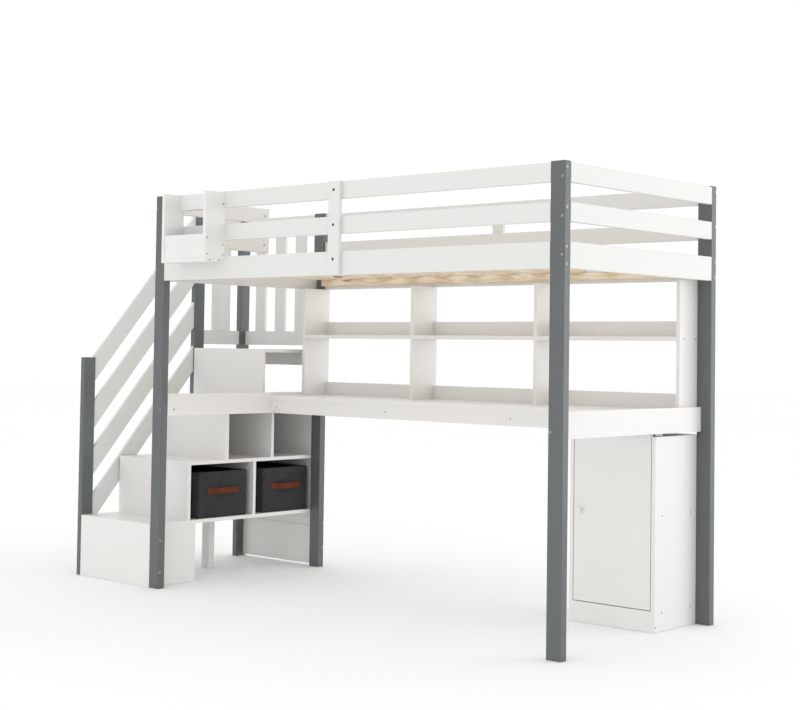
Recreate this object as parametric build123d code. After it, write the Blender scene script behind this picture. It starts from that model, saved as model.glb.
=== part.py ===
from build123d import *
from math import sqrt
import os

# A loft bed over a desk, with storage stairs at its left end. Millimetres, Z up.
# X runs along the bed from the outer face of its left posts, Y from the front posts' front faces to the back.
# At export everything is shifted so that the origin is in the middle of the whole object's box, on the floor.

# Bed frame
bed_length = 2060
bed_width = 960
post_height = 1608
post_x = 58
post_y = 33
post_reveal = 4          # how far a post stands above the top rail
rail_thickness = 20
guard_rail_height = 65
side_rail_height = 88
guard_gap = 64           # open height between two rails
entry_width = 305        # opening between the short left rails and the back post
stile_width = 56
stile_thickness = 18
stile_shift = 8          # from the bed's middle to the middle of the two long stiles

# Mattress support
ledger_height = 28
ledger_depth = 20
ledger_rise = 14         # above the underside of the side rails
slat_count = 12
slat_width = 70
slat_thickness = 15
slat_end_gap = 1
slat_inset = 3           # first and last slat to the posts
timber_rounding = 2.5    # long edges of solid posts and rails
slat_rounding = 1.5

# Desk
board = 15               # thickness of the hutch, tray, cabinet and stair boards
desk_board = 21
desk_depth = 342
front_apron_height = 56
apron_setback = 4        # behind the desk's front edge
end_apron_height = 90
end_apron_thickness = 18

# Hutch on the desk
hutch_height = 477.5     # from the desk to the underside of the side rails
hutch_depth = 155
hutch_bays = 3
hutch_shelf_clear = 254.5    # from the desk to the underside of the shelf
shelf_lip_height = 60
base_lip_height = 57.5

# Bedside tray on the front guard rails
tray_offset = 160
tray_width = 264
tray_depth = 100
tray_drop = 282          # from the top of the top rail to the underside of the tray
tray_reveal = 4          # the tray sides end this much below the top rail's top
tray_front_height = 94
tray_back_height = 70
tray_front_setback = 3

# Cabinet under the desk
cabinet_width = 365
cabinet_back_gap = 3     # from its back to the back of the bed
cabinet_front_setback = 29   # behind the desk's front edge
cabinet_under_apron = 12
plinth_height = 75
back_panel_thickness = 5
door_gap = 3
door_rise = 7            # above the cabinet's top
knob_radius = 10
knob_neck_radius = 5
knob_neck_length = 8
knob_head_length = 13
knob_from_edge = 30
knob_drop = 288.5        # from the top of the door
knob_rounding = 4
pivot_radius = 3
pivot_clearance = 0.3
pivot_depth = 10
pivot_from_edge = 12
pivot_bracket_width = 24
pivot_bracket_depth = 50
pivot_bracket_thickness = 2
pivot_bracket_gap = 1    # above the door
shelf_setback = 12       # from the back of the door to the shelf and the top, so that the door can turn
cabinet_screw_front = 49
cabinet_screw_back = 67

# Stairs
stair_width = 492
stair_post_x = 28
stair_post_y = 58
newel_height = 937
step_1_depth = 245
step_1_top = 258
step_2_front = 200
step_2_top = 504
step_3_front = 410
step_3_top = 744
landing_top = 984
landing_rail_height = 57
leg_x = 46
leg_y = 35
leg_front = 532
leg_right = 241          # from the bed's left face to the leg
kick_board_height = 173
kick_board_lift = 8
kick_board_gap = 2
landing_guard_gap = 19   # from the landing to the lowest guard rail
guard_slat_width = 65
side_slat_width = 107
back_slat_count = 3
handrail_count = 4
handrail_top = 947.5     # the highest rail at the newel
handrail_width = 77
handrail_pitch = 203.5
handrail_rise = 1.17     # climb for each millimetre of run

# Fabric bins in the lower cubbies
bin_side_clearance = 37.25   # to the cubby's walls, were the bin in its middle
bin_rear_clearance = 57
bin_headroom = 34.6
bin_shift = 14           # towards the back, from the middle of its cubby
bin_wall = 4
bin_setback = 12
bin_lift = 0.4
strap_length = 178
strap_height = 26
strap_rise = 16          # above the middle of the bin
strap_thickness = 3
strap_bow = 16
strap_tab = 22
strap_corner = 1

# Fasteners
bolt_head_radius = 5
bolt_head_length = 3.5
bolt_proud = 1
bolt_shank_radius = 3
bolt_socket_radius = 2.3
bolt_socket_depth = 2
screw_head_radius = 3.5
screw_head_length = 2.5
screw_shank_radius = 1.6
screw_shank_length = 26
bolt_into_rail = 40
rail_bolt_inset = 18     # from the rails' edges to their bolts
side_rail_bolt_low = 14
apron_bolt_rise = 25     # above the underside of the end aprons
side_stile_bolt_rise = 14    # above the middle of the side rail
step_bolt_drop = 48      # below the first tread
step_bolt_height = 66    # above the floor
kick_bolt_drop = 60      # below the first step's top
barrel_radius = 5        # nuts of the apron bolts, in the aprons' inner faces
barrel_depth = 5
barrel_inset = 34        # from the posts
screw_inset = 15         # from the edges of the small boards
desk_screw_drop = 28     # below the desk board
desk_screw_inset = 30

# Heights and places that follow from the sizes above
top_rail_top = post_height - post_reveal
top_rail_low = top_rail_top - guard_rail_height
mid_rail_top = top_rail_low - guard_gap
mid_rail_low = mid_rail_top - guard_rail_height
side_rail_top = mid_rail_low - guard_gap
side_rail_low = side_rail_top - side_rail_height
ledger_low = side_rail_low + ledger_rise
slat_low = ledger_low + ledger_height
desk_height = side_rail_low - hutch_height
inner_left = post_x
inner_right = bed_length - post_x
back_post_front = bed_width - post_y
short_rail_end = back_post_front - entry_width
desk_front = bed_width - desk_depth
desk_low = desk_height - desk_board
apron_low = desk_low - front_apron_height
hutch_front = bed_width - hutch_depth
apron_front = desk_front + apron_setback
hutch_shelf_low = desk_height + hutch_shelf_clear
lip_front = bed_width - board
cabinet_front = desk_front + cabinet_front_setback
cabinet_back = bed_width - cabinet_back_gap
cabinet_left = inner_right - cabinet_width
cabinet_height = apron_low - cabinet_under_apron
door_left = cabinet_left + board + door_gap
door_right = inner_right - board - door_gap
door_low = plinth_height + door_gap
door_top = cabinet_height + door_rise
knob_height = door_top - knob_drop
pivot_x = door_right - pivot_from_edge
pivot_y = cabinet_front + board / 2
stair_left = stair_post_x - stair_width    # left faces of the stair boards
unit_end = bed_width - board
mid_post_front = desk_front
mid_post_back = mid_post_front + stair_post_y
back_stair_post_front = bed_width - stair_post_y
guard_low = landing_top + landing_guard_gap
under_step_2 = step_1_top - board
cubby_width = (unit_end - step_2_front) / 2 - board
bin_width = cubby_width - 2 * bin_side_clearance
bin_depth = -stair_left - board - bin_setback - bin_rear_clearance
bin_height = step_2_top - board - bin_headroom - step_1_top - bin_lift

pieces = {}
holes = {}


def block(x0, x1, y0, y1, z0, z1):
    """A board with its faces on the six given planes."""
    return Pos(x0, y0, z0) * Box(x1 - x0, y1 - y0, z1 - z0, align=(Align.MIN, Align.MIN, Align.MIN))


def timber(x0, x1, y0, y1, z0, z1, rounding=timber_rounding):
    """A board of solid wood, whose long edges are rounded."""
    spans = {Axis.X: x1 - x0, Axis.Y: y1 - y0, Axis.Z: z1 - z0}
    solid = block(x0, x1, y0, y1, z0, z1)
    return fillet(solid.edges().filter_by(max(spans, key=spans.get)), rounding)


def post(x0, x1, y0, y1, z0, z1):
    """An upright of solid wood, whose long edges and top are rounded."""
    solid = block(x0, x1, y0, y1, z0, z1)
    edges = solid.edges().filter_by(Axis.Z) + solid.faces().sort_by(Axis.Z)[-1].edges()
    return fillet(edges, timber_rounding)


def add(name, *solids):
    pieces.setdefault(name, []).extend(solids)


def aimed(solid, at, way):
    """Turns a solid made along +Z so that it runs along way from at."""
    turn = {"+X": (0, 90, 0), "-X": (0, -90, 0), "+Y": (-90, 0, 0), "-Y": (90, 0, 0), "-Z": (180, 0, 0)}[way]
    return Pos(*at) * Rot(*turn) * solid


def rod(radius, low, high):
    return Pos(0, 0, low) * Cylinder(radius, high - low, align=(Align.CENTER, Align.CENTER, Align.MIN))


def fasten(name, at, way, head_radius, head_length, proud, shank_radius, shank_length, *drilled):
    """A headed fastener driven along way from the face point at, and its hole in each piece it enters."""
    body = rod(head_radius, -proud, head_length) + rod(shank_radius, head_length, shank_length)
    for target in drilled:
        holes.setdefault(target, []).append(aimed(body, at, way))
    socket = extrude(RegularPolygon(bolt_socket_radius, 6), bolt_socket_depth)
    add(name, aimed(body - Pos(0, 0, -proud) * socket, at, way))


def bolt(at, way, depth, *drilled):
    fasten("frame_bolts", at, way, bolt_head_radius, bolt_head_length, bolt_proud,
           bolt_shank_radius, depth + bolt_into_rail, *drilled)


def barrel_nut(at, way, drilled):
    nut = aimed(rod(barrel_radius, 0, barrel_depth), at, way)
    holes.setdefault(drilled, []).append(nut)
    add("frame_bolts", nut)


def screw(at, way, *drilled):
    fasten("board_screws", at, way, screw_head_radius, screw_head_length, 0,
           screw_shank_radius, screw_shank_length, *drilled)


def bed_frame():
    for side, y in (("front", 0), ("back", back_post_front)):
        add(f"post_{side}_left", post(0, inner_left, y, y + post_y, 0, post_height))
        add(f"post_{side}_right", post(inner_right, bed_length, y, y + post_y, 0, post_height))
    guard_levels = ((top_rail_low, top_rail_top), (mid_rail_low, mid_rail_top))
    for low, top in guard_levels:
        add("guard_rails_front", timber(inner_left, inner_right, 0, rail_thickness, low, top))
        add("guard_rails_back",
            timber(inner_left, inner_right, bed_width - rail_thickness, bed_width, low, top))
        add("guard_rails_right",
            timber(bed_length - rail_thickness, bed_length, post_y, back_post_front, low, top))
        add("guard_rails_left", timber(0, rail_thickness, post_y, short_rail_end, low, top))
    add("side_rail_front", timber(inner_left, inner_right, 0, rail_thickness, side_rail_low, side_rail_top))
    add("side_rail_back",
        timber(inner_left, inner_right, bed_width - rail_thickness, bed_width, side_rail_low, side_rail_top))
    for x in (0, bed_length - rail_thickness):
        add("end_rails", timber(x, x + rail_thickness, post_y, back_post_front, side_rail_low, side_rail_top))
    middle = bed_length / 2 + stile_shift
    stile_left = middle - stile_width / 2
    stile_right = middle + stile_width / 2
    add("guard_stile_front",
        timber(stile_left, stile_right, -stile_thickness, 0, side_rail_low, top_rail_top))
    add("guard_stile_back",
        timber(stile_left, stile_right, bed_width, bed_width + stile_thickness, side_rail_low, top_rail_top))
    add("guard_stile_left",
        timber(-stile_thickness, 0, short_rail_end - stile_width, short_rail_end, mid_rail_low, top_rail_top))


def mattress_support():
    for y in (rail_thickness, bed_width - rail_thickness - ledger_depth):
        add("slat_ledgers",
            timber(inner_left, inner_right, y, y + ledger_depth, ledger_low, ledger_low + ledger_height))
    first = inner_left + slat_inset
    pitch = (inner_right - slat_inset - slat_width - first) / (slat_count - 1)
    for i in range(slat_count):
        x = first + i * pitch
        add("bed_slats",
            timber(x, x + slat_width,
                   rail_thickness + slat_end_gap, bed_width - rail_thickness - slat_end_gap,
                   slat_low, slat_low + slat_thickness, slat_rounding))


def desk():
    add("desk_top", block(inner_left, inner_right, desk_front, bed_width, desk_low, desk_height))
    add("desk_front_apron",
        block(inner_left, inner_right, apron_front, apron_front + board, apron_low, desk_low))
    add("desk_back_apron",
        block(inner_left, inner_right, bed_width - board, bed_width, apron_low, desk_low))
    for name, x in (("left", inner_left - end_apron_thickness), ("right", inner_right)):
        add(f"desk_end_apron_{name}",
            block(x, x + end_apron_thickness, post_y, back_post_front,
                  apron_low, apron_low + end_apron_height))


def upright_places():
    """Left faces of the hutch uprights."""
    pitch = (inner_right - board - inner_left) / hutch_bays
    return [inner_left + i * pitch for i in range(hutch_bays + 1)]


def hutch():
    places = upright_places()
    shelf_top = hutch_shelf_low + board
    for x in places:
        add("hutch_uprights", block(x, x + board, hutch_front, bed_width, desk_height, side_rail_low))
    for left, right in zip(places, places[1:]):
        left += board
        add("hutch_shelves", block(left, right, hutch_front, lip_front, hutch_shelf_low, shelf_top))
        add("hutch_lips",
            block(left, right, lip_front, bed_width, hutch_shelf_low, shelf_top + shelf_lip_height),
            block(left, right, lip_front, bed_width, desk_height, desk_height + base_lip_height))


def tray():
    left = tray_offset
    right = tray_offset + tray_width
    low = top_rail_top - tray_drop
    floor = low + board
    for x in (left, right - board):
        add("tray_sides", block(x, x + board, -tray_depth, 0, low, top_rail_top - tray_reveal))
    add("tray_bottom", block(left + board, right - board, -tray_depth, 0, low, floor))
    front = tray_front_setback - tray_depth
    add("tray_front",
        block(left + board, right - board, front, front + board, floor, floor + tray_front_height))
    add("tray_back_boards",
        block(left + board, right - board, -board, 0, floor, floor + tray_back_height),
        block(left + board, right - board, -board, 0, top_rail_low, top_rail_top - tray_reveal))
    for x, way in ((left, "+X"), (right, "-X")):
        for z in (floor + screw_inset, floor + tray_front_height - screw_inset):
            screw((x, front + board / 2, z), way, "tray_sides", "tray_front")
        for y in (-tray_depth * 3 / 4, -tray_depth / 4):
            screw((x, y, low + board / 2), way, "tray_sides", "tray_bottom")
        for z in (floor + screw_inset, floor + tray_back_height - screw_inset, top_rail_low + screw_inset):
            screw((x, -board / 2, z), way, "tray_sides", "tray_back_boards")


def cabinet():
    inside_left = cabinet_left + board
    inside_right = inner_right - board
    shelf_front = cabinet_front + board + shelf_setback
    inside_back = cabinet_back - back_panel_thickness
    for x in (cabinet_left, inside_right):
        add("cabinet_sides", block(x, x + board, cabinet_front, cabinet_back, 0, cabinet_height))
    add("cabinet_top",
        block(inside_left, inside_right, shelf_front, inside_back, cabinet_height - board, cabinet_height))
    floor_low = plinth_height - board
    shelf_low = knob_height - board / 2
    add("cabinet_bottom",
        block(inside_left, inside_right, cabinet_front + board, inside_back, floor_low, plinth_height))
    add("cabinet_shelf",
        block(inside_left, inside_right, shelf_front, inside_back, shelf_low, shelf_low + board))
    add("cabinet_plinth",
        block(inside_left, inside_right, cabinet_front, cabinet_front + board, 0, plinth_height))
    add("cabinet_back",
        block(inside_left, inside_right, inside_back, cabinet_back, floor_low, cabinet_height))
    for x, way in ((cabinet_left, "+X"), (inner_right, "-X")):
        for y in (cabinet_front + cabinet_screw_front, cabinet_back - cabinet_screw_back):
            screw((x, y, plinth_height - board / 2), way, "cabinet_sides", "cabinet_bottom")
            screw((x, y, knob_height), way, "cabinet_sides", "cabinet_shelf")
        screw((x, pivot_y, plinth_height / 4), way, "cabinet_sides", "cabinet_plinth")


def cabinet_door():
    add("cabinet_door",
        block(door_left, door_right, cabinet_front, cabinet_front + board, door_low, door_top))
    knob_x = door_left + knob_from_edge
    neck = rod(knob_neck_radius, 0, knob_neck_length)
    head = Pos(0, 0, knob_neck_length) * fillet(rod(knob_radius, 0, knob_head_length).edges(), knob_rounding)
    screw_shank = rod(screw_shank_radius, -board, 0)
    add("cabinet_knob", aimed(neck + head + screw_shank, (knob_x, cabinet_front, knob_height), "-Y"))
    holes["cabinet_door"] = [aimed(screw_shank, (knob_x, cabinet_front, knob_height), "-Y")]
    bracket_low = door_top + pivot_bracket_gap
    bracket_top = bracket_low + pivot_bracket_thickness
    ends = (("cabinet_plinth", door_low - pivot_depth, door_low + pivot_depth, -door_gap),
            ("door_pivot_bracket", door_top - pivot_depth, bracket_top, door_gap))
    for target, z0, z1, reach in ends:
        pin = Pos(pivot_x, pivot_y, 0) * rod(pivot_radius, z0, z1)
        add("door_pivot_pins", pin)
        holes["cabinet_door"].append(pin)
        wide = Pos(pivot_x, pivot_y, 0) * rod(pivot_radius + pivot_clearance, z0 + reach, z1 + reach)
        holes.setdefault(target, []).append(wide)
    left = pivot_x - pivot_bracket_width / 2
    right = pivot_x + pivot_bracket_width / 2
    back_foot = cabinet_front + board + shelf_setback
    foot = block(left, right, back_foot, back_foot + pivot_bracket_depth, cabinet_height, bracket_top)
    tongue = block(left, right, cabinet_front, back_foot + pivot_bracket_depth, bracket_low, bracket_top)
    add("door_pivot_bracket", foot + tongue)


def step_boxes():
    x0 = stair_left
    tread_low = step_1_top - board
    back_wall = step_1_depth - board
    add("step_1_tread", block(x0, 0, 0, back_wall, tread_low, step_1_top))
    add("step_1_box",
        block(x0, 0, 0, board, 0, tread_low),
        block(x0, 0, back_wall, step_1_depth, 0, tread_low),
        block(x0, x0 + board, board, back_wall, 0, tread_low),
        block(-board, 0, board, back_wall, 0, tread_low))
    add("step_2_boards",
        block(x0, 0, back_wall, bed_width, tread_low, step_1_top),
        block(x0, 0, step_2_front, bed_width, step_2_top - board, step_2_top))
    cubby_walls("step_2_walls", step_2_front, step_1_top, step_2_top - board)
    add("step_3_tread", block(x0, 0, step_3_front, bed_width, step_3_top - board, step_3_top))
    cubby_walls("step_3_walls", step_3_front, step_2_top, step_3_top - board)
    add("landing_board", block(x0, 0, desk_front, bed_width, landing_top - board, landing_top))
    under = landing_top - board
    add("landing_supports",
        block(x0, 0, desk_front, desk_front + board, step_3_top, under),
        block(x0, 0, unit_end, bed_width, under - landing_rail_height, under),
        block(x0, x0 + board, desk_front + board, unit_end, under - landing_rail_height, under))


def middle_wall(front):
    """Front face of the divider that halves a cubby unit."""
    return (front + bed_width - board) / 2


def cubby_walls(name, front, low, top):
    """Riser, divider, end wall and outer side of a two-cubby unit that is open towards the desk."""
    middle = middle_wall(front)
    side = stair_left + board
    add(name,
        block(stair_left, 0, front, front + board, low, top),
        block(side, 0, middle, middle + board, low, top),
        block(stair_left, 0, unit_end, bed_width, low, top),
        block(stair_left, side, front + board, unit_end, low, top))


def stair_supports():
    add("stair_post_front", post(-stair_width, stair_left, 0, stair_post_y, 0, newel_height))
    add("stair_post_middle",
        post(-stair_width, stair_left, mid_post_front, mid_post_back, under_step_2, top_rail_top))
    add("stair_post_back",
        post(-stair_width, stair_left, back_stair_post_front, bed_width, 0, top_rail_top))
    add("stair_leg", timber(-leg_right - leg_x, -leg_right, leg_front, leg_front + leg_y, 0, under_step_2))
    kick_top = kick_board_lift + kick_board_height
    add("stair_back_boards",
        block(stair_left, 0, unit_end, bed_width, kick_board_lift, kick_top),
        block(stair_left, 0, unit_end, bed_width, kick_top + kick_board_gap, under_step_2))


def landing_guards():
    x0 = (stair_left - stair_width - board) / 2
    y0 = back_post_front + (post_y - board) / 2
    levels = ((guard_low, guard_low + guard_rail_height), (top_rail_low, top_rail_top))
    slat_low_z = guard_low + guard_rail_height
    for low, top in levels:
        add("landing_guard_left",
            timber(x0, x0 + board, mid_post_back, back_stair_post_front, low, top))
        add("landing_guard_back", timber(stair_left, 0, y0, y0 + board, low, top))
    y = (mid_post_back + back_stair_post_front - side_slat_width) / 2
    add("landing_guard_left", timber(x0, x0 + board, y, y + side_slat_width, slat_low_z, top_rail_low))
    gap = (-stair_left - back_slat_count * guard_slat_width) / (back_slat_count + 1)
    for i in range(back_slat_count):
        x = stair_left + gap + i * (guard_slat_width + gap)
        add("landing_guard_back",
            timber(x, x + guard_slat_width, y0, y0 + board, slat_low_z, top_rail_low))


def handrails():
    x0 = (stair_left - stair_width - board) / 2
    run = mid_post_front - stair_post_y
    tall = handrail_width * sqrt(1 + handrail_rise ** 2)
    for i in range(handrail_count):
        top = handrail_top - i * handrail_pitch
        outline = Polyline((x0, stair_post_y, top), (x0, mid_post_front, top + handrail_rise * run),
                           (x0, mid_post_front, top + handrail_rise * run - tall),
                           (x0, stair_post_y, top - tall), close=True)
        rail = extrude(make_face(outline), board, dir=(1, 0, 0))
        sloping = [edge for edge in rail.edges() if edge.length > run]
        add("handrail_boards", fillet(sloping, timber_rounding))


def fabric_bin(name, middle_y):
    """An open fabric box with a bowed strap handle on its front, which faces the desk."""
    front = -bin_setback
    low = step_1_top + bin_lift
    y0 = middle_y - bin_width / 2
    outside = block(front - bin_depth, front, y0, y0 + bin_width, low, low + bin_height)
    inside = block(front - bin_depth + bin_wall, front - bin_wall,
                   y0 + bin_wall, y0 + bin_width - bin_wall, low + bin_wall, low + bin_height)
    add(name, outside - inside)
    half = strap_length / 2
    bend = half - strap_tab
    edge = Polyline((front, -half), (front, -bend), (front + strap_bow, -bend / 2),
                    (front + strap_bow, bend / 2), (front, bend), (front, half),
                    (front + strap_thickness, half),
                    (front + strap_thickness, bend + strap_corner),
                    (front + strap_bow + strap_thickness, bend / 2 + strap_corner),
                    (front + strap_bow + strap_thickness, -bend / 2 - strap_corner),
                    (front + strap_thickness, -bend - strap_corner),
                    (front + strap_thickness, -half), close=True)
    strap_low = low + (bin_height - strap_height) / 2 + strap_rise
    strap = extrude(make_face(edge), strap_height, dir=(0, 0, 1))
    add(f"{name}_strap", Pos(0, middle_y, strap_low) * strap)


def fabric_bins():
    middle = middle_wall(step_2_front)
    fabric_bin("bin_front", (step_2_front + board + middle) / 2 + bin_shift)
    fabric_bin("bin_back", (middle + board + unit_end) / 2 + bin_shift)


def rail_bolts():
    """Bolts through the posts into the rails, two heights per rail so that crossing bolts miss."""
    high = guard_rail_height - rail_bolt_inset
    low = rail_bolt_inset
    x_levels = (("guard_rails", top_rail_low + high), ("guard_rails", mid_rail_low + high),
                ("side_rail", side_rail_top - rail_bolt_inset),
                ("side_rail", side_rail_low + side_rail_bolt_low))
    for side, y in (("front", rail_thickness / 2), ("back", bed_width - rail_thickness / 2)):
        for rail, z in x_levels:
            behind = ["landing_guard_back"] if side == "back" else []
            bolt((0, y, z), "+X", post_x, f"post_{side}_left", f"{rail}_{side}", *behind)
            bolt((bed_length, y, z), "-X", post_x, f"post_{side}_right", f"{rail}_{side}")
    middle = side_rail_low + side_rail_height / 2
    apron_bolt = apron_low + apron_bolt_rise
    right = bed_length - rail_thickness / 2
    left = rail_thickness / 2
    apron_right = inner_right + end_apron_thickness / 2
    apron_left = inner_left - end_apron_thickness / 2
    for side, y, way in (("front", 0, "+Y"), ("back", bed_width, "-Y")):
        for z in (top_rail_low + low, mid_rail_low + low):
            bolt((right, y, z), way, post_y, f"post_{side}_right", "guard_rails_right")
        bolt((right, y, middle), way, post_y, f"post_{side}_right", "end_rails")
        bolt((left, y, middle), way, post_y, f"post_{side}_left", "end_rails")
        bolt((apron_right, y, apron_bolt), way, post_y, f"post_{side}_right", "desk_end_apron_right")
        bolt((apron_left, y, apron_bolt), way, post_y, f"post_{side}_left", "desk_end_apron_left")
    for y in (post_y + barrel_inset, back_post_front - barrel_inset):
        barrel_nut((inner_right, y, apron_bolt), "+X", "desk_end_apron_right")
        barrel_nut((inner_left, y, apron_bolt), "-X", "desk_end_apron_left")
    for z in (top_rail_low + low, mid_rail_low + low):
        bolt((left, 0, z), "+Y", post_y, "post_front_left", "guard_rails_left")


def stile_bolts():
    middle = bed_length / 2 + stile_shift
    levels = (("guard_rails", (top_rail_low + top_rail_top) / 2),
              ("guard_rails", (mid_rail_low + mid_rail_top) / 2),
              ("side_rail", (side_rail_low + side_rail_top) / 2 + side_stile_bolt_rise))
    reach = screw_shank_length
    for rail, z in levels:
        fasten("frame_bolts", (middle, -stile_thickness, z), "+Y", bolt_head_radius,
               bolt_head_length, bolt_proud, bolt_shank_radius, reach,
               "guard_stile_front", f"{rail}_front")
        fasten("frame_bolts", (middle, bed_width + stile_thickness, z), "-Y", bolt_head_radius,
               bolt_head_length, bolt_proud, bolt_shank_radius, reach,
               "guard_stile_back", f"{rail}_back")
    y = short_rail_end - stile_width / 2
    for rail, z in levels[:2]:
        fasten("frame_bolts", (rail_thickness, y, z), "-X", bolt_head_radius,
               bolt_head_length, bolt_proud, bolt_shank_radius, reach,
               "guard_stile_left", "guard_rails_left")


def stair_bolts():
    """Bolts through the bed posts and the stair posts into the step boxes."""
    for z in (step_1_top - board - step_bolt_drop, step_bolt_height):
        bolt((inner_left, board / 2, z), "-X", post_x, "post_front_left", "step_1_box")
        bolt((-stair_width, board / 2, z), "+X", stair_post_x, "stair_post_front", "step_1_box")
    for z in (step_1_top - kick_bolt_drop, kick_board_height / 2):
        bolt((inner_left, unit_end + board / 2, z), "-X", post_x, "post_back_left", "stair_back_boards")
        bolt((-stair_width, unit_end + board / 2, z), "+X", stair_post_x,
             "stair_post_back", "stair_back_boards")
    z = landing_top - board - landing_rail_height / 2
    bolt((-stair_width, unit_end + board / 2, z), "+X", stair_post_x,
         "stair_post_back", "landing_supports")
    z = (step_3_top + landing_top) / 2
    bolt((-stair_width, mid_post_front + board / 2, z), "+X", stair_post_x,
         "stair_post_middle", "landing_supports")


def desk_screws():
    for x in upright_places():
        at = min(x + desk_screw_inset, inner_right - desk_screw_inset)
        screw((at, apron_front, desk_low - desk_screw_drop), "+Y", "desk_front_apron")
    right = inner_right
    left = inner_left
    z = hutch_shelf_low + board / 2
    for y in (hutch_front + desk_screw_inset, lip_front - desk_screw_inset):
        screw((right, y, z), "-X", "hutch_uprights", "hutch_shelves")
        screw((left, y, z), "+X", "hutch_uprights", "hutch_shelves")


def drilled(name):
    """The solids of a piece with every fastener hole that reaches them cut out."""
    result = []
    for solid in pieces[name]:
        box = solid.bounding_box()
        near = [hole for hole in holes.get(name, []) if touches(box, hole.bounding_box())]
        if near:
            solid = solid - near
        result.extend(solid.solids())
    return result


def touches(a, b):
    return all(getattr(a.min, k) < getattr(b.max, k) and getattr(b.min, k) < getattr(a.max, k) for k in "XYZ")


bed_frame()
mattress_support()
desk()
hutch()
tray()
cabinet()
cabinet_door()
step_boxes()
stair_supports()
landing_guards()
handrails()
fabric_bins()
rail_bolts()
stile_bolts()
stair_bolts()
desk_screws()

middle_x = (bed_length - stair_width) / 2
middle_y = (bed_width + stile_thickness - tray_depth + bolt_proud) / 2
os.makedirs("parts", exist_ok=True)
for name in pieces:
    solids = [Pos(-middle_x, -middle_y, 0) * solid for solid in drilled(name)]
    export_step(Compound(children=solids, label=name), f"parts/{name}.step")
print(len(pieces), "nodes;", "middle", middle_x, middle_y, "door pivot",
      pivot_x - middle_x, pivot_y - middle_y)
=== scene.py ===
import bpy
import bmesh
import math
from mathutils import Matrix, Vector, noise


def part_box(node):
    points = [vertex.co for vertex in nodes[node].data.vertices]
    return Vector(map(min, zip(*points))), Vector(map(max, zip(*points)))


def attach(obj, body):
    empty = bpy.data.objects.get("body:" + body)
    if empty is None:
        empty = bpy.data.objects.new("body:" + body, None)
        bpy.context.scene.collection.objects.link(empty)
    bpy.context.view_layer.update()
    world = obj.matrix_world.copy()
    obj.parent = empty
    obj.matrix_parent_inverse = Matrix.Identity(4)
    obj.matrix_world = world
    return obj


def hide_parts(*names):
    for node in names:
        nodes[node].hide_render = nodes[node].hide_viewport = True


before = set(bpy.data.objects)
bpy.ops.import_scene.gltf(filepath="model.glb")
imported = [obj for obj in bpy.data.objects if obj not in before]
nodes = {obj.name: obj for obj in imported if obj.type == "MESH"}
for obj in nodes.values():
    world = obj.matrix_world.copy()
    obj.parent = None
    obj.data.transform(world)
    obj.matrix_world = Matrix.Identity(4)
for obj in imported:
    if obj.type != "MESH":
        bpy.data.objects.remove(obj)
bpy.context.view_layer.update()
print("frame loaded:", len(nodes), "parts")

camera = {"place": (4.09515, -4.40822, 0.98283), "turn": (92.1537, -0.8375, 42.0053), "lens": 67.757,
          "shift": (0.0141, -0.0758)}
studio = {
    "worldColour": (1.0, 1.0, 1.0), "worldStrength": 1.03,
    "sideBox": {"place": (4.6, 3.6, 1.5), "size": (3.6, 2.8), "power": 44},
    "frontBox": {"place": (0.4, -6.4, 1.3), "size": (3.0, 2.4), "power": 24},
    "aim": (0, 0, 0.8), "farthest": 200,
    "floorReach": 40.0, "floorDrop": 0.0008, "floorColour": (0.97, 0.97, 0.967)}


def aimedAt(place, target):
    return (Vector(target) - Vector(place)).to_track_quat("-Z", "Y")


def makeCamera():
    data = bpy.data.cameras.new("camera")
    data.lens = camera["lens"]
    data.shift_x, data.shift_y = camera["shift"]
    data.clip_end = studio["farthest"]
    eye = bpy.data.objects.new("camera", data)
    eye.location = camera["place"]
    eye.rotation_euler = [math.radians(angle) for angle in camera["turn"]]
    bpy.context.scene.collection.objects.link(eye)
    bpy.context.scene.camera = eye


def makeSoftbox(name):
    facts = studio[name]
    data = bpy.data.lights.new(name, "AREA")
    data.shape = "RECTANGLE"
    data.size, data.size_y = facts["size"]
    data.energy = facts["power"]
    box = bpy.data.objects.new(name, data)
    box.location = facts["place"]
    box.rotation_mode = "QUATERNION"
    box.rotation_quaternion = aimedAt(facts["place"], studio["aim"])
    bpy.context.scene.collection.objects.link(box)


def makeWorld():
    world = bpy.data.worlds.new("studioWorld")
    world.use_nodes = True
    sky = world.node_tree.nodes["Background"]
    sky.inputs["Color"].default_value = (*studio["worldColour"], 1)
    sky.inputs["Strength"].default_value = studio["worldStrength"]
    bpy.context.scene.world = world
    bpy.context.scene.view_settings.view_transform = "Standard"


makeCamera()
makeSoftbox("sideBox")
makeSoftbox("frontBox")
makeWorld()
print("camera and lights placed")


class Wire:  # one shader value; maths on it adds Math nodes
    def __init__(self, finish, socket):
        self.finish = finish
        self.socket = socket

    def maths(self, operation, first, second=0.0):
        return self.finish.node("ShaderNodeMath", {"operation": operation}, {0: first, 1: second})

    def __add__(self, other):
        return self.maths("ADD", self, other)

    def __sub__(self, other):
        return self.maths("SUBTRACT", self, other)

    def __rsub__(self, other):
        return self.maths("SUBTRACT", other, self)

    def __mul__(self, other):
        return self.maths("MULTIPLY", self, other)

    def __pow__(self, other):
        return self.maths("POWER", self, other)

    def __gt__(self, other):
        return self.maths("GREATER_THAN", self, other)

    def sine(self):
        return self.maths("SINE", self)

    def clamped(self):
        return self.finish.node("ShaderNodeClamp", {}, {"Value": self})

    __radd__ = __add__
    __rmul__ = __mul__


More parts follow.
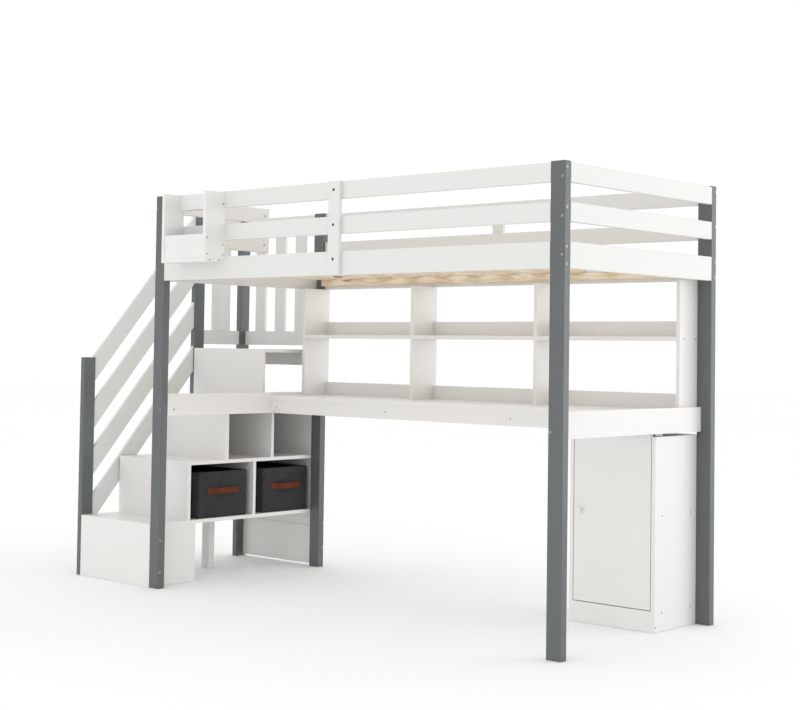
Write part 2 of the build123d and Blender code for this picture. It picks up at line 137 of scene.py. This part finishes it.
class Finish:  # a material, and the one way in which its nodes are made
    def __init__(self, name, **fixed):
        self.material = bpy.data.materials.new(name)
        self.material.use_nodes = True
        self.tree = self.material.node_tree
        self.shader = self.tree.nodes["Principled BSDF"]
        for key, value in fixed.items():
            self.shader.inputs[key.replace("_", " ")].default_value = value

    def node(self, kind, settings, sockets, out=0):
        made = self.tree.nodes.new(kind)
        for key, value in settings.items():
            setattr(made, key, value)
        for key, value in sockets.items():
            self.plug(made.inputs[key], value)
        return Wire(self, made.outputs[out])

    def plug(self, socket, value):
        if isinstance(value, Wire):
            self.tree.links.new(value.socket, socket)
        else:
            socket.default_value = value

    def feed(self, **sockets):
        for key, value in sockets.items():
            self.plug(self.shader.inputs[key.replace("_", " ")], value)

    def place(self, scale, turn=(0, 0, 0)):
        here = self.node("ShaderNodeTexCoord", {}, {}, "Object")
        if any(turn):
            here = self.node("ShaderNodeMapping", {"vector_type": "POINT"},
                             {"Vector": here, "Rotation": turn})
        return self.node("ShaderNodeMapping", {"vector_type": "POINT"}, {"Vector": here, "Scale": scale})

    def noise(self, where, scale=1.0, detail=3.0, roughness=0.5, distortion=0.0):
        return self.node("ShaderNodeTexNoise", {}, {"Vector": where, "Scale": scale, "Detail": detail,
                                                    "Roughness": roughness, "Distortion": distortion})

    def mix(self, factor, first, second):
        colours = [value if isinstance(value, Wire) else (*value, 1) for value in (first, second)]
        sockets = {0: factor, 6: colours[0], 7: colours[1]}  # the colour inputs of a Mix node
        return self.node("ShaderNodeMix", {"data_type": "RGBA"}, sockets, 2)

    def bump(self, height, distance, strength=1.0):
        return self.node("ShaderNodeBump", {},
                         {"Strength": strength, "Distance": distance, "Height": height})


paint = {
    "white": {"colour": (0.77, 0.77, 0.755), "shade": (0.73, 0.73, 0.71), "roughness": 0.36},
    "grey": {"colour": (0.128, 0.140, 0.144), "shade": (0.107, 0.117, 0.121), "roughness": 0.3},
    "grainLong": 1.6, "grainAcross": 85.0, "poresLong": 9.0, "poresAcross": 420.0,
    "grainDepth": 0.00045, "handrailTurn": (-math.atan(1.17), 0, 0)}
panel = {"colour": (0.805, 0.795, 0.778), "shade": (0.78, 0.77, 0.75), "roughness": 0.33,
         "peelScale": 620.0, "peelDepth": 0.00008}
pine = {"early": (0.84, 0.71, 0.53), "late": (0.66, 0.48, 0.31), "knot": (0.36, 0.20, 0.10),
        "pale": (0.90, 0.80, 0.65), "rings": 34.0, "roughness": 0.55, "grainDepth": 0.0005}
# the darkest bolt colour is painted shade for the stile's bolts, standing in for the shade in their
# sockets
metal = {"bolt": (0.36, 0.37, 0.39), "screw": (0.36, 0.37, 0.38), "paintedSocketShade": (0.10, 0.10, 0.105),
         "paintedShadeBefore": -0.449, "roughness": 0.34}
alongX, alongY, alongZ = 0, 1, 2


def stretched(along, lengthwise, crosswise):
    scale = [crosswise] * 3
    scale[along] = lengthwise
    return scale


def paintedTimber(name, coat, along, turn=(0, 0, 0)):
    facts = paint[coat]
    made = Finish(name)
    lie = made.place(stretched(along, paint["grainLong"], paint["grainAcross"]), turn)
    grain = made.noise(lie, 1.0, 4.0, 0.55, 0.35)
    small = made.place(stretched(along, paint["poresLong"], paint["poresAcross"]), turn)
    pores = made.noise(small, 1.0, 2.0)
    cloud = made.noise(made.place((3.1, 3.1, 3.1)), 1.0, 2.0)
    figure = (grain * 0.7 + cloud * 0.5 - 0.35).clamped()
    made.feed(Base_Color=made.mix(figure, facts["shade"], facts["colour"]),
              Roughness=facts["roughness"] + (pores - 0.5) * 0.12 + (cloud - 0.5) * 0.08,
              Normal=made.bump(grain * 0.8 + pores * 0.2, paint["grainDepth"], 0.55))
    return made.material


def whitePanel(name):
    made = Finish(name)
    peel = made.noise(made.place((1, 1, 1)), panel["peelScale"], 2.0)
    roller = made.noise(made.place((7, 7, 7)), 1.0, 3.0, 0.6)
    handled = made.noise(made.place((2.3, 2.3, 2.3)), 1.0, 2.0)
    marks = (roller * 0.6 + handled * 0.6 - 0.1).clamped()
    made.feed(Base_Color=made.mix(marks, panel["shade"], panel["colour"]),
              Roughness=panel["roughness"] + (roller - 0.5) * 0.12 + (peel - 0.5) * 0.1,
              Normal=made.bump(peel, panel["peelDepth"], 0.5))
    return made.material


def barePine(name, along):
    made = Finish(name)
    across = made.place(stretched(along, 0.55, 5.0))
    warp = made.noise(across, 1.6, 3.0, 0.55)
    wide = made.place(stretched(along, 0.35, pine["rings"]))
    push = made.node("ShaderNodeCombineXYZ", {}, {0: warp * 5.0, 1: warp * 5.0, 2: warp * 5.0})
    bent = made.node("ShaderNodeVectorMath", {"operation": "ADD"}, {0: wide, 1: push})
    rings = made.noise(bent, 1.0, 1.0)
    lines = ((rings * 42.0).sine() * 0.5 + 0.5) ** 2.2
    knots = made.node("ShaderNodeTexVoronoi", {"feature": "F1"}, {
        "Vector": made.place(stretched(along, 4.2, 9.0)), "Scale": 1.0}, "Distance")
    knotMask = ((0.16 - knots) * 14.0).clamped()
    fibres = made.noise(made.place(stretched(along, 14.0, 700.0)), 1.0, 2.0)
    blotch = made.noise(made.place((6, 6, 6)), 1.0, 2.0)
    wood = made.mix(blotch, pine["early"], pine["pale"])
    wood = made.mix((lines * 0.62 + fibres * 0.18).clamped(), wood, pine["late"])
    wood = made.mix(knotMask, wood, pine["knot"])
    made.feed(Base_Color=wood, Roughness=pine["roughness"] + (fibres - 0.5) * 0.2 - lines * 0.06,
              Normal=made.bump(fibres * 0.6 + lines * 0.4, pine["grainDepth"], 0.5))
    return made.material


def boltMetal(name):
    # the bolts in front of this plane, on the white stile, are painted darker: painted shade that stands
    # in for the shade in their sockets
    made = Finish(name, Metallic=1.0)
    split = made.tree.nodes.new("ShaderNodeSeparateXYZ")
    made.plug(split.inputs[0], made.place((1, 1, 1)))
    # 1 in front of the plane, where the painted socket shade goes
    paintedSocketShade = ((metal["paintedShadeBefore"] - Wire(made, split.outputs[1])) * 2000.0).clamped()
    scratches = made.noise(made.place((3000, 240, 240)), 1.0, 1.0)
    made.feed(Base_Color=made.mix(paintedSocketShade, metal["bolt"], metal["paintedSocketShade"]),
              Roughness=metal["roughness"] + (scratches - 0.5) * 0.22,
              Normal=made.bump(scratches, 0.00003, 0.4))
    return made.material


def platedMetal(name, colour):
    made = Finish(name, Metallic=1.0)
    mottle = made.noise(made.place((1, 1, 1)), 260.0, 3.0)
    scratches = made.noise(made.place((3000, 240, 240)), 1.0, 1.0)
    dull = [part * 0.8 for part in colour]
    made.feed(Base_Color=made.mix(mottle, dull, colour),
              Roughness=metal["roughness"] + (scratches - 0.5) * 0.22,
              Normal=made.bump(scratches, 0.00003, 0.4))
    return made.material


knob = {"colour": (0.81, 0.81, 0.80), "shade": (0.76, 0.76, 0.75), "roughness": 0.2}


def glossKnob(name):
    made = Finish(name, Coat_Weight=0.5, Coat_Roughness=0.08)
    cloud = made.noise(made.place((60, 60, 60)), 1.0, 2.0)
    peel = made.noise(made.place((1, 1, 1)), 900.0, 1.0)
    made.feed(Base_Color=made.mix(cloud, knob["shade"], knob["colour"]),
              Roughness=knob["roughness"] + cloud * 0.08,
              Normal=made.bump(peel, 0.00004, 0.4))
    return made.material


finishes = {
    "whiteAlongX": paintedTimber("whiteAlongX", "white", alongX),
    "whiteAlongY": paintedTimber("whiteAlongY", "white", alongY),
    "whiteAlongZ": paintedTimber("whiteAlongZ", "white", alongZ),
    "whiteSloping": paintedTimber("whiteSloping", "white", alongY, paint["handrailTurn"]),
    "greyAlongZ": paintedTimber("greyAlongZ", "grey", alongZ),
    "panelWhite": whitePanel("panelWhite"),
    "pineAlongX": barePine("pineAlongX", alongX),
    "pineAlongY": barePine("pineAlongY", alongY),
    "boltZinc": boltMetal("boltZinc"),
    "screwZinc": platedMetal("screwZinc", metal["screw"]),
    "knobGloss": glossKnob("knobGloss")}
finishOfNode = {
    "guard_rails_front": "whiteAlongX", "guard_rails_back": "whiteAlongX",
    "side_rail_front": "whiteAlongX", "side_rail_back": "whiteAlongX",
    "landing_guard_back": "whiteAlongX", "guard_rails_right": "whiteAlongY",
    "guard_rails_left": "whiteAlongY", "end_rails": "whiteAlongY", "landing_guard_left": "whiteAlongY",
    "guard_stile_front": "whiteAlongZ", "guard_stile_back": "whiteAlongZ",
    "guard_stile_left": "whiteAlongZ", "stair_leg": "whiteAlongZ",
    "handrail_boards": "whiteSloping", "slat_ledgers": "pineAlongX",
    "bed_slats": "pineAlongY", "frame_bolts": "boltZinc", "door_pivot_pins": "screwZinc",
    "door_pivot_bracket": "screwZinc",
    "board_screws": "screwZinc", "cabinet_knob": "knobGloss"}


def coatNode(name):
    given = finishOfNode.get(name, "panelWhite")
    if name.startswith(("post_", "stair_post_")):
        given = "greyAlongZ"
    mesh = nodes[name].data
    mesh.materials.clear()
    mesh.materials.append(finishes[given])


for name in nodes:
    coatNode(name)
print("wood, board and metal coated")


cloth = {"dark": (0.013, 0.0135, 0.0155), "light": (0.048, 0.049, 0.055), "thread": 0.0016,
         "depth": 0.00035, "roughness": 0.92}
hide = {"colour": (0.158, 0.032, 0.009), "dark": (0.09, 0.018, 0.006), "roughness": 0.6,
        "cells": 900.0, "depth": 0.0002}


def wovenCloth(name):
    made = Finish(name, Sheen_Weight=0.2, Sheen_Roughness=0.5, Specular_IOR_Level=0.25)
    lie = made.node("ShaderNodeUVMap", {"uv_map": "weave"}, {})
    split = made.tree.nodes.new("ShaderNodeSeparateXYZ")
    made.plug(split.inputs[0], lie)
    across, up = Wire(made, split.outputs[0]), Wire(made, split.outputs[1])
    turns = math.pi / cloth["thread"]
    warp = (across * turns).sine()
    weft = (up * turns).sine()
    over = (warp * weft) > 0.0
    height = over * (warp * warp) + (1 - over) * (weft * weft)
    slubs = []
    for scale in ((620, 26, 1), (26, 620, 1)):  # warp, weft
        stretch = made.node("ShaderNodeMapping", {}, {"Vector": lie, "Scale": scale})
        slubs.append(made.noise(stretch, 1.0, 2.0))
    heather = over * slubs[0] + (1 - over) * slubs[1]
    rubbed = made.noise(made.place((14, 14, 14)), 1.0, 3.0)
    # height * 0.12 makes the thread crests lighter and the hollows between threads darker: painted shade
    # in the weave
    lightness = ((heather - 0.36) * 2.1 + (rubbed - 0.5) * 0.5 + height * 0.12).clamped()
    made.feed(Base_Color=made.mix(lightness, cloth["dark"], cloth["light"]),
              Roughness=cloth["roughness"] - height * 0.08,
              Normal=made.bump(height * 0.8 + heather * 0.2, cloth["depth"], 0.7))
    return made.material


def strapLeather(name):
    made = Finish(name, Specular_IOR_Level=0.2)
    cells = made.node("ShaderNodeTexVoronoi", {"feature": "DISTANCE_TO_EDGE"}, {
        "Vector": made.place((1, 1, 1)), "Scale": hide["cells"]}, "Distance")
    crease = ((cells * 6.0).clamped()) ** 0.6
    cloud = made.noise(made.place((45, 45, 45)), 1.0, 4.0, 0.6)
    pull = made.noise(made.place((160, 30, 160)), 1.0, 2.0)
    # a random mottle, darker along the grain's crease lines: painted shade in the creases
    mottledTone = (cloud * 0.75 + pull * 0.25) * (crease * 0.35 + 0.65)
    made.feed(Base_Color=made.mix(mottledTone, hide["dark"], hide["colour"]),
              Roughness=hide["roughness"] + (cloud - 0.5) * 0.25,
              Normal=made.bump(crease + cloud * 0.3, hide["depth"], 0.6))
    return made.material


def sewingThread(name, pale, dark):
    made = Finish(name, Specular_IOR_Level=0.3)
    twist = made.noise(made.place((1400, 1400, 500)), 1.0, 1.0)
    made.feed(Base_Color=made.mix(twist, dark, pale), Roughness=0.75 + twist * 0.1,
              Normal=made.bump(twist, 0.0001, 0.6))
    return made.material


finishes["charcoalCloth"] = wovenCloth("charcoalCloth")
finishes["rustLeather"] = strapLeather("rustLeather")
finishes["greyThread"] = sewingThread("greyThread", (0.16, 0.16, 0.175), (0.08, 0.08, 0.09))
finishes["rustThread"] = sewingThread("rustThread", (0.36, 0.12, 0.05), (0.2, 0.06, 0.025))

fabricBin = {
    "inset": 0.0022, "cornerRadius": 0.007, "cuts": 20, "wall": 0.003, "hem": 0.021, "hemProud": 0.0016,
    "sideSag": 0.0055, "frontSag": 0.0022, "wrinkle": 0.0011, "foldCrease": 0.0028, "foldWidth": 0.006,
    "wallReach": 0.012, "loosest": 0.0005, "rimEdge": 0.0007, "hemInset": 0.0004}
binStitch = {"length": 0.0042, "pitch": 0.0066, "radius": 0.00042, "fromHemEdge": 0.004,
             "fromCorner": 0.004, "piping": 0.0014, "pipingEdge": 0.0005}
strap = {"bow": 0.0145, "tab": 0.022, "gauge": 0.0026, "edge": 0.0007, "acrossCuts": 5, "alongCuts": 44,
         "cup": 0.0006, "clearance": 0.0002, "ramp": 0.3,
         "stitchInset": 0.0035, "stitchPitch": 0.0044, "stitchLength": 0.0029, "stitchRadius": 0.00038}


sharpAngle = 50  # degrees between faces, above which a modifier rounds their edge


def finished(name, bm, material, body, slot, *stoodFor):
    mesh = bpy.data.meshes.new(name)
    bm.to_mesh(mesh)
    bm.free()
    mesh.materials.append(finishes[material])
    piece = bpy.data.objects.new(name, mesh)
    bpy.context.scene.collection.objects.link(piece)
    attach(piece, body)
    if stoodFor:
        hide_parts(*stoodFor)
    return piece


def softened(piece):
    for polygon in piece.data.polygons:
        polygon.use_smooth = True
    return piece


def give(share):  # 0 at a wall's ends and 1 in its middle
    return math.sin(math.pi * min(max(share, 0), 1))


def wallShift(point, low, high):
    # how far the cloth stands off its flat wall at this point
    middle = (low + high) / 2
    share = [(point[k] - low[k]) / (high[k] - low[k]) for k in range(3)]
    ripple = noise.noise(Vector(point) * 19.0 + Vector((3.1, 7.7, 1.3)))
    fine = noise.noise(Vector(point) * 61.0 + Vector((11.0, 2.4, 5.9)))
    shift = Vector((0, 0, 0))
    upright = give(share[2]) ** 0.8
    for k, other, sag in ((0, 1, fabricBin["frontSag"]), (1, 0, fabricBin["sideSag"])):
        side = 1 if point[k] > middle[k] else -1
        wall = high[k] if side > 0 else low[k]
        if abs(point[k] - wall) > fabricBin["wallReach"]:
            continue
        across = give(share[other])
        inward = sag * upright * across * (0.75 + 0.5 * ripple)
        inward += fabricBin["wrinkle"] * (ripple + 0.5 * fine) * across * (0.35 + 0.65 * upright)
        if k == 1:
            crease = math.exp(-((point[0] - middle[0]) / fabricBin["foldWidth"]) ** 2)
            inward += fabricBin["foldCrease"] * crease
        shift[k] -= side * max(inward, -fabricBin["loosest"])
    return shift


def layWeave(bm):
    # each wall's cloth lies flat along it, in metres
    weave = bm.loops.layers.uv.new("weave")
    for face in bm.faces:
        flat = [abs(part) for part in face.normal]
        across = 1 if flat[0] >= flat[1] else 0
        up = 2
        if flat[2] > max(flat[0], flat[1]):
            across, up = 0, 1
        for loop in face.loops:
            loop[weave].uv = (loop.vert.co[across], loop.vert.co[up])


def binCorners(node):
    low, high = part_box(node)
    step = fabricBin["inset"]
    return low + Vector((step, step, 0.0006)), high - Vector((step, step, 0.0004))


def sewnShell(name, node, body):
    low, high = binCorners(node)
    middle, size = (low + high) / 2, high - low
    bm = bmesh.new()
    bmesh.ops.create_cube(bm, size=1.0, matrix=Matrix.Translation(middle) @ Matrix.Diagonal((*size, 1)))
    lid = max(bm.faces, key=lambda face: face.calc_center_median().z)
    bmesh.ops.delete(bm, geom=[lid], context="FACES_ONLY")
    uprights = [edge for edge in bm.edges if abs(edge.verts[0].co.z - edge.verts[1].co.z) > size.z / 2]
    bmesh.ops.bevel(bm, geom=uprights, offset=fabricBin["cornerRadius"], offset_type="OFFSET",
                    affect="EDGES", segments=3, profile=0.5, material=-1)
    longEdges = [edge for edge in bm.edges if edge.calc_length() > 0.05]
    bmesh.ops.subdivide_edges(bm, edges=longEdges, cuts=fabricBin["cuts"], use_grid_fill=True)
    hemLine = high.z - fabricBin["hem"]
    bmesh.ops.bisect_plane(bm, geom=bm.verts[:] + bm.edges[:] + bm.faces[:], plane_co=(0, 0, hemLine),
                           plane_no=(0, 0, 1))
    bmesh.ops.recalc_face_normals(bm, faces=bm.faces[:])
    floorFaces = [face for face in bm.faces if abs(face.normal.z) > 0.9]
    if floorFaces[0].normal.z > 0:
        bmesh.ops.reverse_faces(bm, faces=bm.faces[:])
    for vert in bm.verts:
        vert.co += wallShift(vert.co, low, high)
    hemFaces = [face for face in bm.faces
                if face.calc_center_median().z > hemLine and abs(face.normal.z) < 0.9]
    bmesh.ops.inset_region(bm, faces=hemFaces, thickness=fabricBin["hemInset"],
                           depth=fabricBin["hemProud"], use_even_offset=True, use_boundary=False)
    layWeave(bm)
    piece = softened(finished(name, bm, "charcoalCloth", body, "charcoal_fabric", node))
    walls = piece.modifiers.new("boardWall", "SOLIDIFY")
    walls.thickness = fabricBin["wall"]
    walls.offset = -1
    edge = piece.modifiers.new("turnedRim", "BEVEL")
    edge.width = fabricBin["rimEdge"]
    edge.segments = 2
    edge.limit_method = "ANGLE"
    edge.angle_limit = math.radians(sharpAngle)
    return piece


def addStitch(bm, middle, run, radius, length):
    turn = run.to_track_quat("X", "Z").to_matrix().to_4x4()
    shape = Matrix.Translation(middle) @ turn @ Matrix.Diagonal((length / 2, radius, radius, 1))
    bmesh.ops.create_uvsphere(bm, u_segments=6, v_segments=5, radius=1.0, matrix=shape)


def hemStitches(name, node, body):
    low, high = binCorners(node)
    height = high.z - fabricBin["hem"] + binStitch["fromHemEdge"]
    bm = bmesh.new()
    corner = fabricBin["cornerRadius"] + binStitch["fromCorner"]
    for k, other in ((0, 1), (1, 0)):
        for wall, side in ((low[k], -1), (high[k], 1)):
            span = high[other] - low[other] - 2 * corner
            count = round(span / binStitch["pitch"])
            for i in range(count):
                at = Vector((0, 0, height))
                at[k] = wall
                at[other] = low[other] + corner + (i + 0.5) * span / count
                at += wallShift(at, low, high)
                at[k] += side * fabricBin["hemProud"]
                run = Vector((0, 0, 0))
                run[other] = 1
                addStitch(bm, at, run, binStitch["radius"], binStitch["length"])
    return softened(finished(name, bm, "greyThread", body, "charcoal_fabric"))


def cornerPiping(name, node, body):
    low, high = binCorners(node)
    bm = bmesh.new()
    tuck = fabricBin["cornerRadius"] * (1 - math.sqrt(0.5))
    tall = high.z - low.z - fabricBin["hem"]
    for x, sideX in ((low.x, 1), (high.x, -1)):
        for y, sideY in ((low.y, 1), (high.y, -1)):
            at = Vector((x + sideX * tuck, y + sideY * tuck, low.z + tall / 2))
            bmesh.ops.create_cone(bm, cap_ends=True, segments=10, radius1=binStitch["piping"],
                                  radius2=binStitch["piping"], depth=tall, matrix=Matrix.Translation(at))
    rims = [edge for edge in bm.edges if abs(edge.verts[0].co.z - edge.verts[1].co.z) < 1e-6]
    bmesh.ops.bevel(bm, geom=rims, offset=binStitch["pipingEdge"], offset_type="OFFSET", affect="EDGES",
                    segments=2, profile=0.5, material=-1)
    layWeave(bm)
    return softened(finished(name, bm, "charcoalCloth", body, "charcoal_fabric"))


def strapLift(share, long):  # how far the strap stands off the cloth, from one end (0) to the other (1)
    tabShare = strap["tab"] / long
    inner = (share - tabShare) / (1 - 2 * tabShare)
    if not 0 < inner < 1:
        return 0.0
    rise = min(inner, 1 - inner) / strap["ramp"]
    return strap["bow"] * (1 if rise >= 1 else (3 - 2 * rise) * rise * rise)


def strapCup(height, low, high):  # how far the strap's middle stands out between its two long edges
    return strap["cup"] * (1 - (2 * (height - low.z) / (high.z - low.z) - 1) ** 2)


def leatherStrap(name, strapNode, binNode, body):
    low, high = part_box(strapNode)
    wallLow, wallHigh = binCorners(binNode)
    long = high.y - low.y
    face = wallHigh.x
    bm = bmesh.new()
    upright = Matrix.Rotation(math.radians(90), 4, "Y")
    middle = Vector((face, (low.y + high.y) / 2, (low.z + high.z) / 2))
    size = Matrix.Diagonal(((high.z - low.z) / 2, (high.y - low.y) / 2, 1, 1))
    bmesh.ops.create_grid(bm, x_segments=strap["acrossCuts"], y_segments=strap["alongCuts"], size=1.0,
                          matrix=Matrix.Translation(middle) @ upright @ size)
    for vert in bm.verts:
        share = (vert.co.y - low.y) / long
        base = wallShift(Vector((face, vert.co.y, vert.co.z)), wallLow, wallHigh).x
        cup = strapCup(vert.co.z, low, high)
        vert.co.x += base + strapLift(share, long) + cup + strap["clearance"]
    bmesh.ops.recalc_face_normals(bm, faces=bm.faces[:])
    if sum(face.normal.x for face in bm.faces) < 0:
        bmesh.ops.reverse_faces(bm, faces=bm.faces[:])
    piece = softened(finished(name, bm, "rustLeather", body, "rust_leather", strapNode))
    gauge = piece.modifiers.new("gauge", "SOLIDIFY")
    gauge.thickness = strap["gauge"]
    gauge.offset = 1
    edge = piece.modifiers.new("paredEdge", "BEVEL")
    edge.width = strap["edge"]
    edge.segments = 3
    edge.limit_method = "ANGLE"
    edge.angle_limit = math.radians(sharpAngle)
    return piece


def strapStitches(name, strapNode, binNode, body):
    # a sewn box with a cross at each end of the strap
    low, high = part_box(strapNode)
    wallLow, wallHigh = binCorners(binNode)
    inset = strap["stitchInset"]
    bm = bmesh.new()
    z0, z1 = low.z + inset, high.z - inset
    for y0, y1 in ((low.y + inset, low.y + strap["tab"] - inset / 2),
                   (high.y - strap["tab"] + inset / 2, high.y - inset)):
        runs = (((y0, z0), (y1, z0)), ((y1, z0), (y1, z1)), ((y1, z1), (y0, z1)), ((y0, z1), (y0, z0)),
                ((y0, z0), (y1, z1)), ((y0, z1), (y1, z0)))
        for start, end in runs:
            start, end = Vector((0, *start)), Vector((0, *end))
            count = max(2, round((end - start).length / strap["stitchPitch"]))
            for i in range(count):
                at = start.lerp(end, (i + 0.5) / count)
                at.x = wallHigh.x
                base = wallShift(at, wallLow, wallHigh).x
                at.x += base + strapCup(at.z, low, high) + strap["gauge"] + strap["clearance"]
                addStitch(bm, at, end - start, strap["stitchRadius"], strap["stitchLength"])
    return softened(finished(name, bm, "rustThread", body, "rust_leather"))


for label, node, body in (("front", "bin_front", "front_bin"), ("back", "bin_back", "back_bin")):
    sewnShell(f"{label}BinCloth", node, body)
    hemStitches(f"{label}BinHemStitches", node, body)
    cornerPiping(f"{label}BinPiping", node, body)
    leatherStrap(f"{label}BinStrap", f"{node}_strap", node, body)
    strapStitches(f"{label}BinStrapStitches", f"{node}_strap", node, body)
print("fabric bins sewn")


def makeFloor():
    bm = bmesh.new()
    bmesh.ops.create_circle(bm, cap_ends=True, segments=64, radius=studio["floorReach"],
                            matrix=Matrix.Translation((0, 0, -studio["floorDrop"])))
    mesh = bpy.data.meshes.new("floor")
    bm.to_mesh(mesh)
    bm.free()
    made = Finish("floorPale", Roughness=0.85, Specular_IOR_Level=0.1)
    cloud = made.noise(made.place((0.6, 0.6, 0.6)), 1.0, 2.0)
    mottledTone = [part * 0.99 for part in studio["floorColour"]]
    made.feed(Base_Color=made.mix(cloud, mottledTone, studio["floorColour"]))
    mesh.materials.append(made.material)
    floor = bpy.data.objects.new("floor", mesh)
    bpy.context.scene.collection.objects.link(floor)


makeFloor()
print("floor laid")
